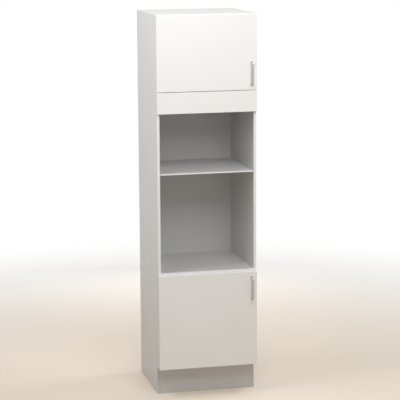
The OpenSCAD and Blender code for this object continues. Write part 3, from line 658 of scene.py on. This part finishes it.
def finish_of(key):
    """The material of that key, made when it is first asked for."""
    scene = bpy.context.scene
    makers = {
        "board": lambda: melamine_board(tuple(scene.cabinet_boards.board_colour_and_shade)),
        "front": lambda: smooth_front(tuple(scene.cabinet_boards.front_colour)),
        "edging": lambda: edge_band(tuple(scene.cabinet_boards.edging_colour_and_highlight)),
        "core": lambda: particle_board(tuple(scene.cabinet_boards.core_colour)),
        "handle": lambda: satin_nickel(tuple(scene.cabinet_handles.metal_colour)),
        "hinge": lambda: bright_nickel(tuple(scene.cabinet_fittings.nickel_colour)),
        "zinc": lambda: zinc_plate(tuple(scene.cabinet_fittings.zinc_colour)),
        "beech": beech_wood,
        "rubber": milky_rubber,
        "plastic": moulded_plastic,
    }
    if key not in MATERIALS:
        MATERIALS[key] = makers[key]()
    return MATERIALS[key]


def finish_node(name, key):
    """Gives a CAD node its material, in every slot that it has."""
    mesh = frame["nodes"][name].data
    for index in range(len(mesh.materials)):
        mesh.materials[index] = finish_of(key)
    if not mesh.materials:
        mesh.materials.append(finish_of(key))


# ------------------------------------------------------------------ shapes


def body_of(node):
    """The name of the body that the CAD node rides on."""
    return frame["nodes"][node]["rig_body"]


def place_piece(mesh, name, node):
    """An object for the mesh that stands for the CAD node and rides on its body."""
    piece = bpy.data.objects.new(name, mesh)
    bpy.context.scene.collection.objects.link(piece)
    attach(piece, body_of(node))
    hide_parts(node)
    return piece


def merged_copy(node):
    """A copy of the CAD node's mesh, with its loose triangles joined to whole faces."""
    copy = bmesh.new()
    copy.from_mesh(frame["nodes"][node].data)
    bmesh.ops.remove_doubles(copy, verts=copy.verts, dist=SAME_PLACE)
    bmesh.ops.dissolve_limit(copy, angle_limit=FLAT, verts=copy.verts, edges=copy.edges)
    return copy


def sides_at(vertex, low, high):
    """On how many sides of the board's box a vertex lies."""
    gaps = [min(abs(vertex.co[i] - low[i]), abs(vertex.co[i] - high[i])) for i in range(3)]
    return sum(gap < ON_SIDE for gap in gaps)


def sharp_edges(copy):
    """The edges at which the faces of the mesh turn sharply."""
    return [
        edge
        for edge in copy.edges
        if len(edge.link_faces) == 2 and edge.calc_face_angle(0) > SHARP
    ]


def round_off(copy, edges, radius):
    """Rounds those edges of the mesh."""
    bmesh.ops.bevel(
        copy,
        geom=edges,
        offset=radius,
        segments=2,
        profile=0.5,
        affect="EDGES",
        clamp_overlap=False,
    )


def soften(copy, low, high, radius):
    """Rounds the long outer edges of a board and leaves its bores sharp."""
    edges = [
        edge
        for edge in sharp_edges(copy)
        if edge.calc_length() > BOARD_EDGE
        and all(sides_at(vertex, low, high) >= 2 for vertex in edge.verts)
    ]
    round_off(copy, edges, radius)


def mark_raw_faces(copy, low, high, raw_sides):
    """Gives the bores of a board, and its edges on the raw sides, the raw core."""
    size = high - low
    thin = min(range(3), key=lambda i: size[i])
    for face in copy.faces:
        centre = face.calc_center_median()
        depth = min(centre[thin] - low[thin], high[thin] - centre[thin])
        inside = all(
            low[i] + BORE_INSET < centre[i] < high[i] - BORE_INSET
            for i in range(3)
            if i != thin
        )
        if inside and depth > BORE_DEPTH and face.calc_area() < BORE_FACE:
            face.material_index = CORE_SLOT
        for axis, sign in raw_sides:
            side = high[axis] if sign > 0 else low[axis]
            near = abs(centre[axis] - side) < FACE_ON_SIDE
            if near and face.normal[axis] * sign > FACING:
                face.material_index = CORE_SLOT


def mark_front_edge(copy, low):
    """Gives the front edge of a board, with its rounding, the edging, whose brighter colour
    is a painted highlight of the lit edge.
    """
    band = bpy.context.scene.cabinet_boards.edge_radius
    copy.normal_update()
    for face in copy.faces:
        depth = face.calc_center_median().y - low.y
        if depth < band and face.normal.y < -HALF_FACING:
            face.material_index = EDGING_SLOT


def to_mesh(copy, name, materials):
    """The rounded copy as a plain mesh in those materials, shaded flat between its
    roundings. The copy goes."""
    mesh = bpy.data.meshes.new(name)
    copy.to_mesh(mesh)
    copy.free()
    for material in materials:
        mesh.materials.append(material)
    mesh.shade_smooth()
    mesh.set_sharp_from_angle(angle=ROUNDED)
    carrier = bpy.data.objects.new(name + "_source", mesh)
    bpy.context.scene.collection.objects.link(carrier)
    even = carrier.modifiers.new("even", "WEIGHTED_NORMAL")
    even.weight = 100
    even.keep_sharp = True
    return baked(carrier, name)


def baked(carrier, name):
    """What the modifiers of an object make of it, as a plain mesh; the object goes."""
    bpy.context.view_layer.update()
    graph = bpy.context.evaluated_depsgraph_get()
    mesh = bpy.data.meshes.new_from_object(carrier.evaluated_get(graph))
    mesh.name = name
    bpy.data.objects.remove(carrier)
    return mesh


def board_piece(node, finish, raw_sides, edged):
    """A board or front with rounded edges, raw bores and raw hidden edges. An edged one
    has edging on its front edge, and a door is one foil all round."""
    low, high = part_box(node)
    copy = merged_copy(node)
    soften(copy, low, high, bpy.context.scene.cabinet_boards.edge_radius)
    mark_raw_faces(copy, low, high, raw_sides)
    materials = [finish_of(finish), finish_of("core")]
    if edged:
        mark_front_edge(copy, low)
        materials.append(finish_of("edging"))
    mesh = to_mesh(copy, node + "_board", materials)
    return place_piece(mesh, node + "_shape", node)


def fitting_piece(node, finish):
    """A small fitting, with the rounded edges that pressing, turning or moulding leaves.
    Of a hinge cup only the flange and the mouth are rounded, because its wall is thin."""
    copy = merged_copy(node)
    edges = sharp_edges(copy)
    if node in CUP_NODES:
        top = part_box(node)[1].y
        edges = [edge for edge in edges if all(top - v.co.y < ON_SIDE for v in edge.verts)]
    round_off(copy, edges, bpy.context.scene.cabinet_fittings.edge_radius)
    mesh = to_mesh(copy, node + "_fitting", [finish_of(finish)])
    return place_piece(mesh, node + "_shape", node)


def islands(node):
    """The corners of each separate solid of a node, as lists of points."""
    copy = merged_copy(node)
    found = []
    seen = set()
    for start in copy.verts:
        if start in seen:
            continue
        seen.add(start)
        stack = [start]
        points = []
        while stack:
            vertex = stack.pop()
            points.append(vertex.co.copy())
            for edge in vertex.link_edges:
                other = edge.other_vert(vertex)
                if other not in seen:
                    seen.add(other)
                    stack.append(other)
        found.append(points)
    copy.free()
    return found


def measure_screw(points):
    """Where a screw's head sits, which way it faces, and the sizes of its tree, from the
    corners of its solid."""
    low = Vector([min(p[i] for p in points) for i in range(3)])
    high = Vector([max(p[i] for p in points) for i in range(3)])
    size = high - low
    axis = max(range(3), key=lambda i: size[i])
    centre = (low + high) / 2

    def radius_at(p):
        return math.sqrt(sum((p[i] - centre[i]) ** 2 for i in range(3) if i != axis))

    widest = max(radius_at(p) for p in points)
    rim = [p[axis] for p in points if radius_at(p) > ON_RIM * widest]
    sign = 1 if sum(rim) / len(rim) > centre[axis] else -1
    under = min(rim) if sign > 0 else max(rim)
    top = high[axis] if sign > 0 else low[axis]
    # What is over a millimetre under the head is the shank.
    shank = max(radius_at(p) for p in points if (p[axis] - under) * sign < -MM)
    tip = low[axis] if sign > 0 else high[axis]
    out = Vector((0, 0, 0))
    out[axis] = sign
    place = centre.copy()
    place[axis] = under
    sizes = {
        "Head Radius": widest,
        "Head Height": abs(top - under),
        "Shank Radius": shank,
        "Length": abs(under - tip),
    }
    return place, out, sizes


# ------------------------------------------------------------------ node trees


def new_tree(name, inputs):
    """A geometry tree and its inputs, each given by its name, socket type and default."""
    tree = bpy.data.node_groups.new(name, "GeometryNodeTree")
    tree.interface.new_socket("Geometry", in_out="INPUT", socket_type="NodeSocketGeometry")
    for label, kind, default in inputs:
        socket = tree.interface.new_socket(label, in_out="INPUT", socket_type=kind)
        if default is not None:
            socket.default_value = default
    tree.interface.new_socket("Geometry", in_out="OUTPUT", socket_type="NodeSocketGeometry")
    return tree, add(tree, "NodeGroupInput").outputs


def close_tree(tree, geometry, material):
    """Ends a tree with real meshes in one material."""
    real = add(tree, "GeometryNodeRealizeInstances", {"Geometry": geometry})
    painted = add(
        tree,
        "GeometryNodeSetMaterial",
        {"Geometry": real.outputs["Geometry"], "Material": material},
    )
    add(tree, "NodeGroupOutput", {"Geometry": painted.outputs["Geometry"]})


def screw_tree():
    """Screws on points: each stands along its point's "out" direction, and has a rim and
    a crown for its head, a cross in it, a shank and a blunt point."""
    tree, given = new_tree(
        "cabinet_screws",
        [
            ("Head Radius", "NodeSocketFloat", 3.5 * MM),
            ("Head Height", "NodeSocketFloat", 2 * MM),
            ("Shank Radius", "NodeSocketFloat", 1.75 * MM),
            ("Length", "NodeSocketFloat", 16 * MM),
            ("Recess Width", "NodeSocketFloat", 0.22),
            ("Material", "NodeSocketMaterial", None),
        ],
    )
    head_r, head_h = given["Head Radius"], given["Head Height"]
    shank_r, length = given["Shank Radius"], given["Length"]

    def lifted(mesh, height):
        """The mesh, moved up by the height."""
        vector = add(tree, "ShaderNodeCombineXYZ", {"Z": height}).outputs[0]
        return add(
            tree, "GeometryNodeTransform", {"Geometry": mesh, "Translation": vector}
        ).outputs["Geometry"]

    def cone(bottom, top, depth, base):
        """A closed cone of those radii, with its bottom at the height of base."""
        made = add(
            tree,
            "GeometryNodeMeshCone",
            {
                "Vertices": SCREW_SIDES,
                "Radius Top": top,
                "Radius Bottom": bottom,
                "Depth": depth,
            },
        )
        return lifted(made.outputs["Mesh"], base)

    rim_h, crown_h, crown_r, tip_l, tip_r, slot_l, slot_w, slot_h, tip_base = (
        add(tree, "ShaderNodeMath", {0: size, 1: share}, operation="MULTIPLY").outputs[0]
        for size, share in (
            (head_h, RIM_HEIGHT),
            (head_h, CROWN_HEIGHT),
            (head_r, CROWN_RADIUS),
            (shank_r, TIP_LENGTH),
            (shank_r, TIP_RADIUS),
            (head_r, CROSS_LENGTH),
            (head_r, given["Recess Width"]),
            (head_h, CROSS_HEIGHT),
            (length, -1.0),
        )
    )
    shank_l, shank_base = (
        add(tree, "ShaderNodeMath", {0: first, 1: second}, operation="SUBTRACT").outputs[0]
        for first, second in ((length, tip_l), (tip_l, length))
    )
    # The parts are made one body first, and the cross is then cut out of it.
    screw = add(
        tree,
        "GeometryNodeMeshBoolean",
        {"Mesh 2": cone(head_r, head_r, rim_h, 0.0)},
        operation="UNION",
        solver="EXACT",
    )
    for part in (
        cone(head_r, crown_r, crown_h, rim_h),
        cone(shank_r, shank_r, shank_l, shank_base),
        cone(tip_r, shank_r, tip_l, tip_base),
    ):
        tree.links.new(part, screw.inputs["Mesh 2"])
    bars = []
    for across in (False, True):
        size = add(
            tree,
            "ShaderNodeCombineXYZ",
            {
                "X": slot_w if across else slot_l,
                "Y": slot_l if across else slot_w,
                "Z": slot_h,
            },
        )
        bar = add(tree, "GeometryNodeMeshCube", {"Size": size.outputs[0]})
        bars.append(lifted(bar.outputs["Mesh"], head_h))
    cross = add(
        tree,
        "GeometryNodeMeshBoolean",
        {"Mesh 1": screw.outputs["Mesh"], "Mesh 2": bars[0]},
        operation="DIFFERENCE",
        solver="EXACT",
    )
    tree.links.new(bars[1], cross.inputs["Mesh 2"])
    out = add(
        tree,
        "GeometryNodeInputNamedAttribute",
        {"Name": "out"},
        data_type="FLOAT_VECTOR",
    )
    turn = add(
        tree,
        "FunctionNodeAlignRotationToVector",
        {"Vector": out.outputs["Attribute"]},
        axis="Z",
    )
    placed = add(
        tree,
        "GeometryNodeInstanceOnPoints",
        {
            "Points": given["Geometry"],
            "Instance": cross.outputs["Mesh"],
            "Rotation": turn.outputs["Rotation"],
        },
    )
    close_tree(tree, placed.outputs["Instances"], given["Material"])
    return tree


def bow_tree():
    """A round bar along a line whose corners are rounded, closed at both ends."""
    tree, given = new_tree(
        "cabinet_bow_handle",
        [
            ("Bar Radius", "NodeSocketFloat", 6 * MM),
            ("Bend Radius", "NodeSocketFloat", 12 * MM),
            ("Material", "NodeSocketMaterial", None),
        ],
    )
    line = add(tree, "GeometryNodeMeshToCurve", {"Mesh": given["Geometry"]})
    bent = add(
        tree,
        "GeometryNodeFilletCurve",
        {
            "Curve": line.outputs["Curve"],
            "Radius": given["Bend Radius"],
            "Count": BEND_STEPS,
        },
        mode="POLY",
    )
    ring = add(
        tree,
        "GeometryNodeCurvePrimitiveCircle",
        {"Resolution": BAR_SIDES, "Radius": given["Bar Radius"]},
        mode="RADIUS",
    )
    bar = add(
        tree,
        "GeometryNodeCurveToMesh",
        {
            "Curve": bent.outputs["Curve"],
            "Profile Curve": ring.outputs["Curve"],
            "Fill Caps": True,
        },
    )
    close_tree(tree, bar.outputs["Mesh"], given["Material"])
    return tree


def grown(tree, source, name, values):
    """The mesh that a tree makes of the source mesh with those values for its inputs, as
    a plain mesh without empty material slots."""
    carrier = bpy.data.objects.new(name + "_source", source)
    bpy.context.scene.collection.objects.link(carrier)
    modifier = carrier.modifiers.new("nodes", "NODES")
    modifier.node_group = tree
    for item in tree.interface.items_tree:
        if item.in_out == "INPUT" and item.name in values:
            modifier[item.identifier] = values[item.name]
    mesh = baked(carrier, name)
    for index in reversed(range(len(mesh.materials))):
        if mesh.materials[index] is None:
            mesh.materials.pop(index=index)
    mesh.shade_smooth()
    mesh.set_sharp_from_angle(angle=SHARP)
    return mesh


# ------------------------------------------------------------------ operators


class CABINET_OT_boards(bpy.types.Operator):
    """Make the boards of the carcass and the shelves"""

    bl_idname = "cabinet.boards"
    bl_label = "Boards and Shelves"

    def execute(self, context):
        for node in BOARDS:
            raw_sides = []
            if node in RAW_BACKS:
                raw_sides.append(BACK)
            if node in RAW_FEET:
                raw_sides.append(DOWN)
            board_piece(node, "board", raw_sides, edged=node != "plinth_board")
        finish_node("back_panel", "board")
        return {"FINISHED"}


class CABINET_OT_fronts(bpy.types.Operator):
    """Make the two doors and the filler panel"""

    bl_idname = "cabinet.fronts"
    bl_label = "Doors and Filler"

    def execute(self, context):
        for node in FRONTS:
            board_piece(node, "front", raw_sides=[], edged=False)
        for node in BUMPER_NODES:
            fitting_piece(node, "rubber")
        return {"FINISHED"}


class CABINET_OT_handles(bpy.types.Operator):
    """Bend a round bar into each bow handle"""

    bl_idname = "cabinet.handles"
    bl_label = "Bow Handles"

    def execute(self, context):
        tree = bow_tree()
        for node in HANDLES:
            low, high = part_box(node)
            bar_r = (high.x - low.x) / 2
            x = (low.x + high.x) / 2
            ends = (low.z + bar_r, high.z - bar_r)
            path = [
                (x, high.y, ends[0]),
                (x, low.y + bar_r, ends[0]),
                (x, low.y + bar_r, ends[1]),
                (x, high.y, ends[1]),
            ]
            source = bpy.data.meshes.new(node + "_line")
            source.from_pydata(path, [(0, 1), (1, 2), (2, 3)], [])
            values = {
                "Bar Radius": bar_r,
                "Bend Radius": context.scene.cabinet_handles.bend_radius,
                "Material": finish_of("handle"),
            }
            mesh = grown(tree, source, node + "_bar", values)
            place_piece(mesh, node + "_shape", node)
        return {"FINISHED"}


class CABINET_OT_hinges(bpy.types.Operator):
    """Make the cups, links, pins, arms and plates of the concealed hinges"""

    bl_idname = "cabinet.hinges"
    bl_label = "Concealed Hinges"

    def execute(self, context):
        for node in HINGE_NODES:
            fitting_piece(node, "hinge")
        return {"FINISHED"}


class CABINET_OT_screws(bpy.types.Operator):
    """Make every screw with its head, cross and shank"""

    bl_idname = "cabinet.screws"
    bl_label = "Screws"

    def execute(self, context):
        tree = screw_tree()
        for node in SCREW_NODES:
            places, outs, sizes = zip(*(measure_screw(points) for points in islands(node)))
            source = bpy.data.meshes.new(node + "_places")
            source.from_pydata(places, [], [])
            attribute = source.attributes.new("out", "FLOAT_VECTOR", "POINT")
            for item, out in zip(attribute.data, outs):
                item.vector = out
            values = {
                **sizes[0],
                "Recess Width": context.scene.cabinet_fittings.recess_width,
                "Material": finish_of("zinc"),
            }
            mesh = grown(tree, source, node + "_heads", values)
            place_piece(mesh, node + "_shape", node)
        return {"FINISHED"}


class CABINET_OT_fittings(bpy.types.Operator):
    """Make the cams, dowels, pins, brackets and blocks"""

    bl_idname = "cabinet.fittings"
    bl_label = "Fittings"

    def execute(self, context):
        for node in ZINC_NODES:
            fitting_piece(node, "zinc")
        fitting_piece("dowels", "beech")
        fitting_piece("plinth_blocks", "plastic")
        return {"FINISHED"}


class CABINET_OT_stage(bpy.types.Operator):
    """Make the floor, the lights and the camera"""

    bl_idname = "cabinet.stage"
    bl_label = "Floor, Lights and Camera"

    def execute(self, context):
        settings = context.scene.cabinet_stage
        make_floor(settings)
        make_world(settings)
        make_light("key_light", KEY_PLACE, KEY_TARGET, settings.key_power)
        make_light("left_light", LEFT_PLACE, SIDE_TARGET, settings.left_power)
        make_light("right_light", RIGHT_PLACE, SIDE_TARGET, settings.right_power)
        make_light("back_light", BACK_PLACE, BACK_TARGET, settings.back_power)
        make_camera(context.scene)
        context.scene.view_settings.view_transform = "Standard"
        return {"FINISHED"}


def seen_directly(tree):
    """1 for what is seen, also in mirrors and through glass, and 0 for what lights."""
    path = add(tree, "ShaderNodeLightPath").outputs
    seen = path["Is Camera Ray"]
    for ray in ("Is Transmission Ray", "Is Glossy Ray"):
        either = add(tree, "ShaderNodeMath", {0: seen, 1: path[ray]}, operation="MAXIMUM")
        seen = either.outputs[0]
    return seen


def make_floor(settings):
    """A round, plain floor that fades into the white background. It is pale where it is
    seen, and throws the warmer, deeper light of a wooden floor up on the cabinet."""
    mesh = bpy.data.meshes.new("floor")
    disc = bmesh.new()
    radius = settings.floor_radius
    bmesh.ops.create_circle(disc, cap_ends=True, segments=FLOOR_SIDES, radius=radius)
    disc.to_mesh(mesh)
    disc.free()
    floor = bpy.data.objects.new("floor", mesh)
    bpy.context.scene.collection.objects.link(floor)
    material, tree, shader, place = new_material("plain_floor", metallic=0.0, roughness=0.9)
    cloud = grain(tree, place, size_mm=900)
    pale = tinted(tree, cloud, tuple(settings.floor_colour), dark=0.99, light=1.01)
    seen = seen_directly(tree)
    # A Mix node's sockets for colours share their names with others, so go by number.
    colour = add(
        tree,
        "ShaderNodeMix",
        {0: seen, 6: (*settings.bounce_colour, 1), 7: pale},
        data_type="RGBA",
    )
    tree.links.new(colour.outputs[2], shader.inputs["Base Color"])
    clear = add(tree, "ShaderNodeBsdfTransparent")
    distance = add(tree, "ShaderNodeVectorMath", {0: place}, operation="LENGTH")
    fade = add(
        tree,
        "ShaderNodeMapRange",
        {
            "Value": distance.outputs["Value"],
            "From Min": radius * FADE_FROM,
            "From Max": radius * FADE_TO,
        },
        interpolation_type="SMOOTHSTEP",
    )
    clearness = add(
        tree,
        "ShaderNodeMath",
        {0: fade.outputs["Result"], 1: seen},
        operation="MULTIPLY",
    )
    blend = add(
        tree,
        "ShaderNodeMixShader",
        {0: clearness.outputs[0], 1: shader.outputs["BSDF"], 2: clear.outputs["BSDF"]},
    )
    output = next(n for n in tree.nodes if n.type == "OUTPUT_MATERIAL")
    tree.links.new(blend.outputs["Shader"], output.inputs["Surface"])
    mesh.materials.append(material)


def make_world(settings):
    """Even light on the object, and a white background behind and in what mirrors it."""
    world = bpy.data.worlds.new("studio")
    bpy.context.scene.world = world
    world.use_nodes = True
    tree = world.node_tree
    tree.nodes.clear()
    strength = add(
        tree,
        "ShaderNodeMix",
        {"Factor": seen_directly(tree), "A": settings.fill_strength, "B": 1.0},
        data_type="FLOAT",
    )
    light = add(
        tree,
        "ShaderNodeBackground",
        {"Color": (1, 1, 1, 1), "Strength": strength.outputs["Result"]},
    )
    add(tree, "ShaderNodeOutputWorld", {"Surface": light.outputs["Background"]})


def make_light(name, place, target, power):
    """A square soft light at place that faces target."""
    data = bpy.data.lights.new(name, "AREA")
    data.shape = "SQUARE"
    data.size = LIGHT_SIZE
    data.energy = power
    light = bpy.data.objects.new(name, data)
    light.location = place
    direction = Vector(target) - Vector(place)
    light.rotation_euler = direction.to_track_quat("-Z", "Y").to_euler()
    bpy.context.scene.collection.objects.link(light)


def make_camera(scene):
    """The camera that took the photograph, as its place, turns and lens were fitted."""
    data = bpy.data.cameras.new("camera")
    data.sensor_width = CAMERA_SENSOR
    data.lens = CAMERA_LENS
    data.clip_end = 100
    camera = bpy.data.objects.new("camera", data)
    forward = Vector(
        (
            math.sin(CAMERA_YAW) * math.cos(CAMERA_PITCH),
            math.cos(CAMERA_YAW) * math.cos(CAMERA_PITCH),
            -math.sin(CAMERA_PITCH),
        )
    )
    right = Vector((math.cos(CAMERA_YAW), -math.sin(CAMERA_YAW), 0))
    up = right.cross(forward)
    tilted_right = right * math.cos(CAMERA_ROLL) + up * math.sin(CAMERA_ROLL)
    tilted_up = up * math.cos(CAMERA_ROLL) - right * math.sin(CAMERA_ROLL)
    turn = Matrix((tilted_right, tilted_up, -forward)).transposed().to_4x4()
    camera.matrix_world = Matrix.Translation(CAMERA_PLACE) @ turn
    scene.collection.objects.link(camera)
    scene.camera = camera


# ------------------------------------------------------------------ panel


OPERATORS = (
    CABINET_OT_boards,
    CABINET_OT_fronts,
    CABINET_OT_handles,
    CABINET_OT_hinges,
    CABINET_OT_screws,
    CABINET_OT_fittings,
    CABINET_OT_stage,
)
SETTINGS = (
    ("cabinet_boards", BoardSettings),
    ("cabinet_handles", HandleSettings),
    ("cabinet_fittings", FittingSettings),
    ("cabinet_stage", StageSettings),
)


class CABINET_PT_sidebar(bpy.types.Panel):
    """The cabinet's sizes, colours and pieces"""

    bl_idname = "CABINET_PT_sidebar"
    bl_label = "Microwave Cabinet"
    bl_space_type = "VIEW_3D"
    bl_region_type = "UI"
    bl_category = "Cabinet"

    def draw(self, context):
        for name, group in SETTINGS:
            box = self.layout.box()
            for prop in group.__annotations__:
                box.prop(getattr(context.scene, name), prop)
        for operator in OPERATORS:
            self.layout.operator(operator.bl_idname)


def register():
    """Makes the settings, the operators and the panel known to Blender."""
    for _, group in SETTINGS:
        bpy.utils.register_class(group)
    for name, group in SETTINGS:
        setattr(bpy.types.Scene, name, PointerProperty(type=group))
    for operator in OPERATORS:
        bpy.utils.register_class(operator)
    bpy.utils.register_class(CABINET_PT_sidebar)


def unregister():
    """Takes back what register did."""
    bpy.utils.unregister_class(CABINET_PT_sidebar)
    for operator in reversed(OPERATORS):
        bpy.utils.unregister_class(operator)
    for name, group in reversed(SETTINGS):
        delattr(bpy.types.Scene, name)
        bpy.utils.unregister_class(group)


def main():
    """Builds every piece and the stage."""
    register()
    bpy.ops.cabinet.boards()
    bpy.ops.cabinet.fronts()
    bpy.ops.cabinet.handles()
    bpy.ops.cabinet.hinges()
    bpy.ops.cabinet.screws()
    bpy.ops.cabinet.fittings()
    bpy.ops.cabinet.stage()


if __name__ == "__main__":
    main()
